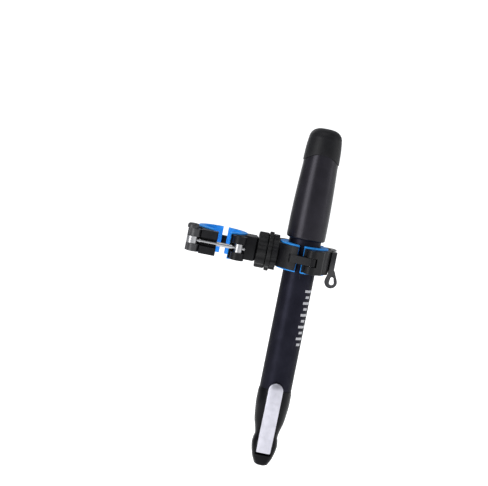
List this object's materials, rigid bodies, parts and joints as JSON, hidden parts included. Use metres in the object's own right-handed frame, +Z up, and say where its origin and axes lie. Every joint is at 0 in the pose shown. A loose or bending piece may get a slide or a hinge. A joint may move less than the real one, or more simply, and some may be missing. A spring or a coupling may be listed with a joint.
{
  "type": "mini pump",
  "caption": "Slim hand pump with sliding handle and flip-lever valve head, held upright in a double quick-release seat-post bracket.",
  "frame": {"origin": "centre of the seat-post clamp's bore, at mid height", "axes": "+Z up along the seat post and the pump, +X from the seat post to the pump, -Y the side with the thumb lever"},
  "size_m": [0.1117, 0.0528, 0.2444],
  "materials": {
    "barrel_anodised": "satin black anodised",
    "handle_anodised": "semi-gloss black anodised",
    "cap_rubber": "matte moulded",
    "inner_plastic": "plain moulded",
    "seal_rubber": "smooth",
    "rod_steel": "polished",
    "stainless": "bright turned",
    "head_plastic": "fine satin moulded",
    "lever_silver": "satin silver",
    "knob_nylon": "glass-filled nylon, fine texture",
    "clamp_nylon": "glass-filled nylon, fine texture",
    "lever_nylon": "glass-filled nylon, worn satin",
    "liner_rubber": "matte azure rubber"
  },
  "bodies": {
    "post_clamp": {"post_clamp_body": "clamp_nylon", "post_body_liner": "liner_rubber", "detent_ring": "knob_nylon", "swivel_bolt": "stainless", "swivel_nut": "stainless", "swivel_washer": "stainless"},
    "post_gate": {"post_clamp_gate": "clamp_nylon", "post_gate_liner": "liner_rubber", "post_hinge_pin": "stainless"},
    "post_bolt": {"post_swing_bolt": "stainless", "post_barrel_nut": "stainless"},
    "post_lever": {"post_cam_lever": "lever_nylon", "post_cam_pin": "stainless"},
    "lock_knob": {"lock_knob": "knob_nylon"},
    "pump": {"pump_clamp_body": "clamp_nylon", "pump_body_liner": "liner_rubber", "barrel": "barrel_anodised", "rod_guide": "inner_plastic", "rod_wiper": "seal_rubber", "head_body": "head_plastic", "barrel_seal": "seal_rubber", "check_valve": "seal_rubber", "lever_pin": "stainless", "grommet": "seal_rubber", "chuck_core": "inner_plastic", "chuck_nut": "knob_nylon"},
    "pump_gate": {"pump_clamp_gate": "clamp_nylon", "pump_gate_liner": "liner_rubber", "pump_hinge_pin": "stainless"},
    "pump_bolt": {"pump_swing_bolt": "stainless", "pump_barrel_nut": "stainless"},
    "pump_lever": {"pump_cam_lever": "lever_nylon", "pump_cam_pin": "stainless"},
    "handle": {"handle_sleeve": "handle_anodised", "handle_plug": "inner_plastic", "handle_screw": "stainless", "end_cap": "cap_rubber", "bumper": "seal_rubber", "handle_bush": "inner_plastic", "piston_rod": "rod_steel", "piston_head": "inner_plastic", "piston_seal": "seal_rubber"},
    "thumb_lever": {"thumb_lever": "lever_silver"},
    "plunger": {"plunger": "inner_plastic"}
  },
  "joints": [
    {"name": "pump_swivel", "type": "hinge", "parent": "post_clamp", "child": "pump", "pos_m": [0.0365, 0, 0], "axis": [1, 0, 0], "continuous": true},
    {"name": "knob_turn", "type": "hinge", "parent": "post_clamp", "child": "lock_knob", "pos_m": [0.029, 0, 0], "axis": [1, 0, 0], "range_deg": [0, 60]},
    {"name": "post_bolt_swing", "type": "hinge", "parent": "post_clamp", "child": "post_bolt", "pos_m": [0.0126, -0.0215, 0], "axis": [0, 0, 1], "range_deg": [0, 80]},
    {"name": "post_lever_turn", "type": "hinge", "parent": "post_bolt", "child": "post_lever", "pos_m": [-0.0206, -0.0215, 0], "axis": [0, 0, 1], "range_deg": [0, 120]},
    {"name": "post_gate_turn", "type": "hinge", "parent": "post_clamp", "child": "post_gate", "pos_m": [-0.0065, 0.0214, 0], "axis": [0, 0, -1], "range_deg": [0, 1.2]},
    {"name": "pump_bolt_swing", "type": "hinge", "parent": "pump", "child": "pump_bolt", "pos_m": [0.0459, 0.0215, 0], "axis": [0, 0, 1], "range_deg": [0, 80]},
    {"name": "pump_lever_turn", "type": "hinge", "parent": "pump_bolt", "child": "pump_lever", "pos_m": [0.0791, 0.0215, 0], "axis": [0, 0, 1], "range_deg": [0, 120]},
    {"name": "pump_gate_turn", "type": "hinge", "parent": "pump", "child": "pump_gate", "pos_m": [0.065, -0.0214, 0], "axis": [0, 0, -1], "range_deg": [0, 1.2]},
    {"name": "handle_stroke", "type": "slide", "parent": "pump", "child": "handle", "axis": [0, 0, 1], "range_m": [0, 0.12]},
    {"name": "thumb_lever_turn", "type": "hinge", "parent": "pump", "child": "thumb_lever", "pos_m": [0.0585, -0.006, -0.1363], "axis": [1, 0, 0], "range_deg": [0, 90]},
    {"name": "plunger_push", "type": "slide", "parent": "pump", "child": "plunger", "axis": [0, 1, 0], "range_m": [0, 0.0015]}
  ],
  "couplings": [
    {"joint": "post_gate_turn", "follows": "post_lever_turn", "ratio": 0.01},
    {"joint": "pump_gate_turn", "follows": "pump_lever_turn", "ratio": 0.01},
    {"joint": "plunger_push", "follows": "thumb_lever_turn", "m_per_rad": 0.000955}
  ]
}
